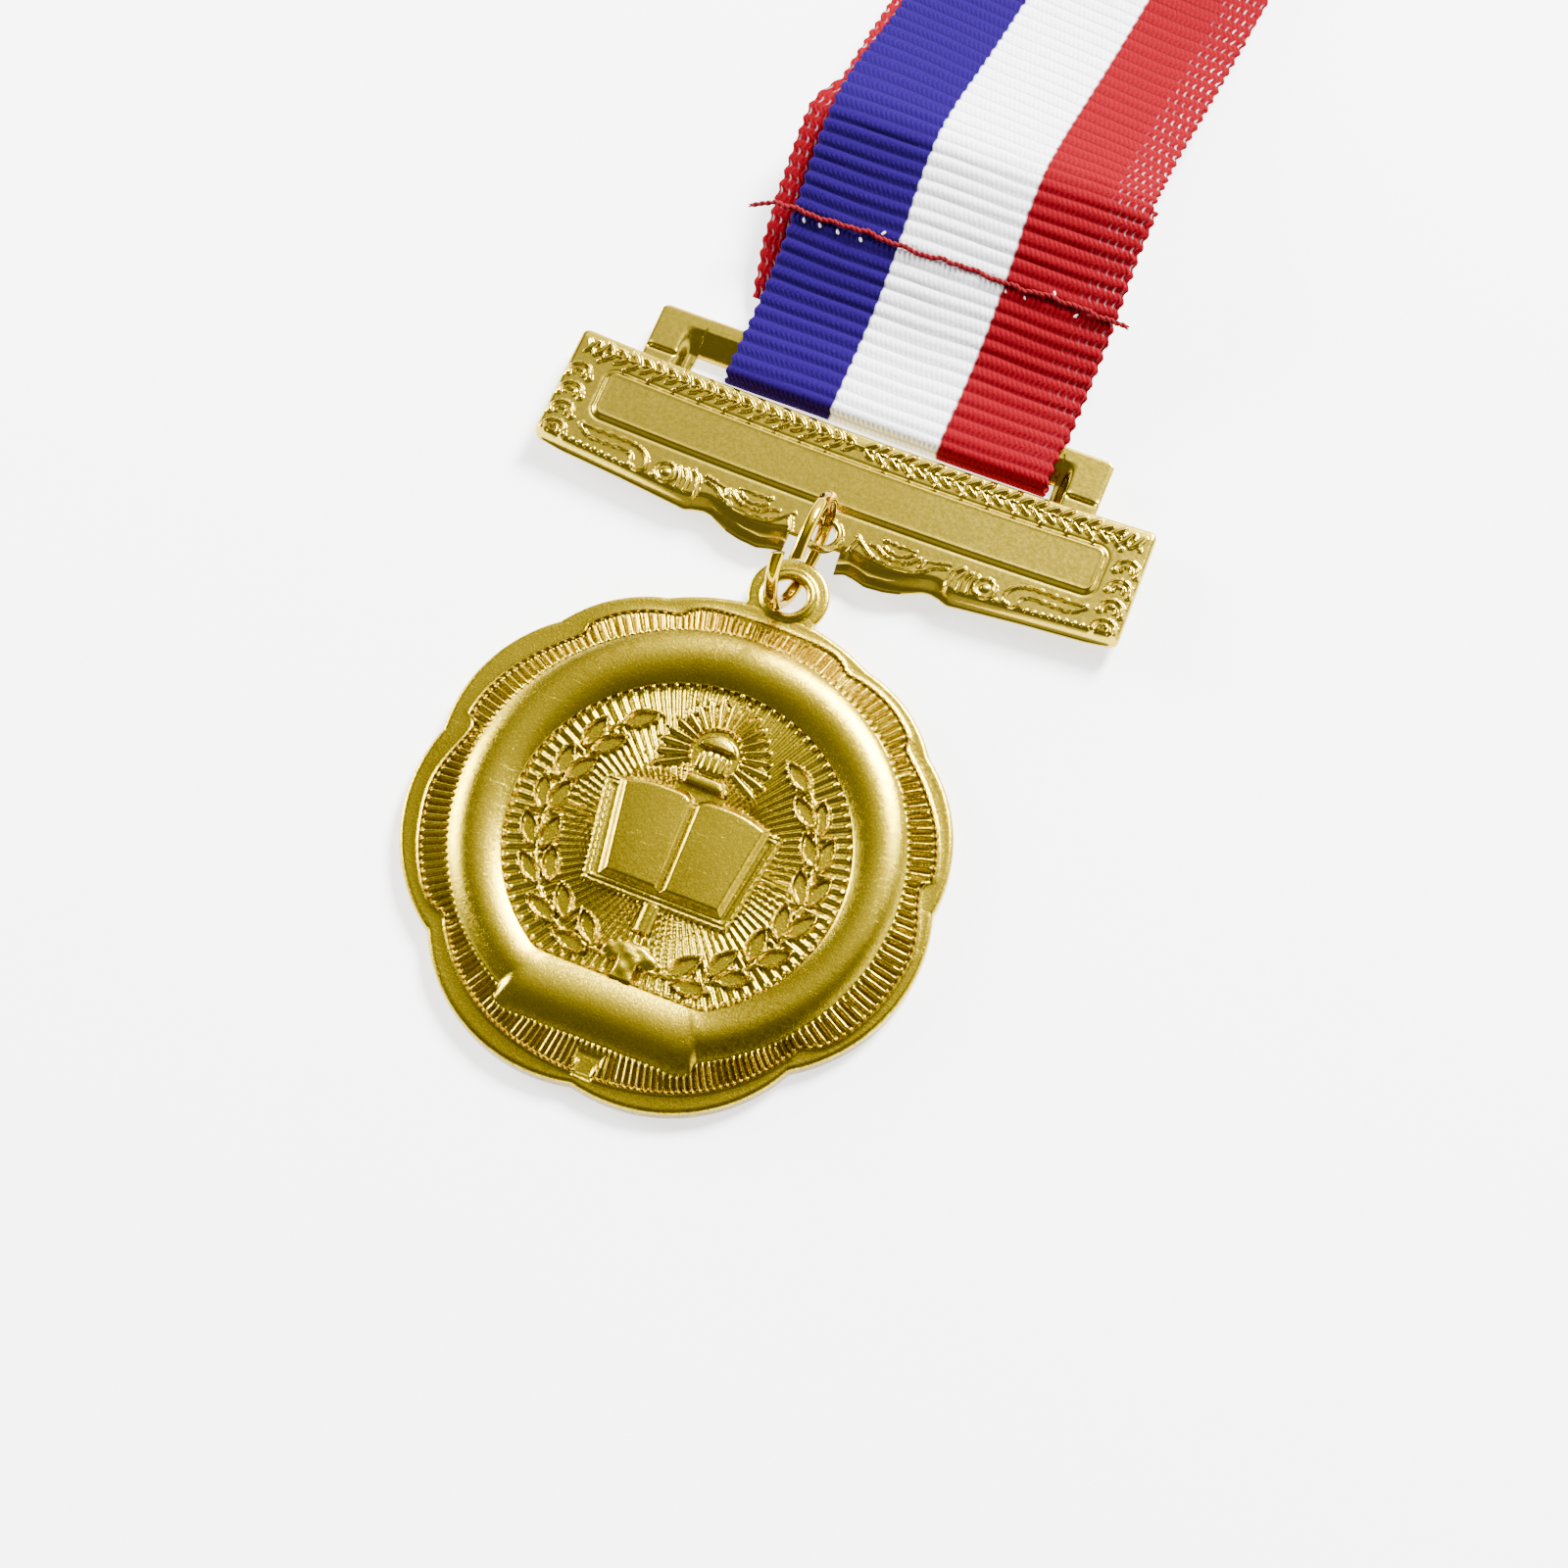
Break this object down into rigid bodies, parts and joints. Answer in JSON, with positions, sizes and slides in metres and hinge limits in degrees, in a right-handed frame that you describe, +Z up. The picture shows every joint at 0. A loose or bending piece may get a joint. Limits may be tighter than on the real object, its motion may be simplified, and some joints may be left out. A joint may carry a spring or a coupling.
{
  "type": "award medal",
  "caption": "Gold scalloped medal with a book and torch emblem, hung by an open jump ring from a decorated bar on a striped neck ribbon.",
  "frame": {"origin": "middle of the base: centre of the bounding box in X and Y, at the height of the surface that the medal lies on", "axes": "+X along the hanger bar, +Y from the medallion towards the ribbon, +Z up, out of the medal's face"},
  "size_m": [0.059, 0.2198, 0.0122],
  "materials": {
    "bar_gold": "gold-washed stamped sheet, satin panel and bright relief",
    "ring_gold": "polished gold plate",
    "medal_gold": "gold-washed pressed sheet, grained satin with bright ribs",
    "ribbon_fabric": "ribbed grosgrain in three equal stripes, blue, white and red",
    "thread_red": "twisted sewing thread",
    "band_rubber": "matte natural elastic"
  },
  "bodies": {
    "hanger": {"hanger_bar": "bar_gold", "ribbon_loop": "ribbon_fabric"},
    "ring": {"jump_ring": "ring_gold"},
    "medal": {"medallion": "medal_gold"},
    "ribbon": {"neck_ribbon": "ribbon_fabric", "seam_thread": "thread_red", "ribbon_band": "band_rubber"}
  },
  "joints": [
    {"name": "ring_swing", "type": "hinge", "parent": "hanger", "child": "ring", "pos_m": [0, -0.05078, 0.00255], "axis": [0.9945, -0.1045, 0], "range_deg": [-8, 60]},
    {"name": "medal_swing", "type": "hinge", "parent": "ring", "child": "medal", "pos_m": [-0.00077, -0.05809, 0.00143], "axis": [0.9945, -0.1045, 0], "range_deg": [-1, 75]},
    {"name": "ribbon_swing", "type": "hinge", "parent": "hanger", "child": "ribbon", "pos_m": [0.001, -0.03168, 0.0014], "axis": [1, 0, 0], "range_deg": [-45, 80]}
  ]
}
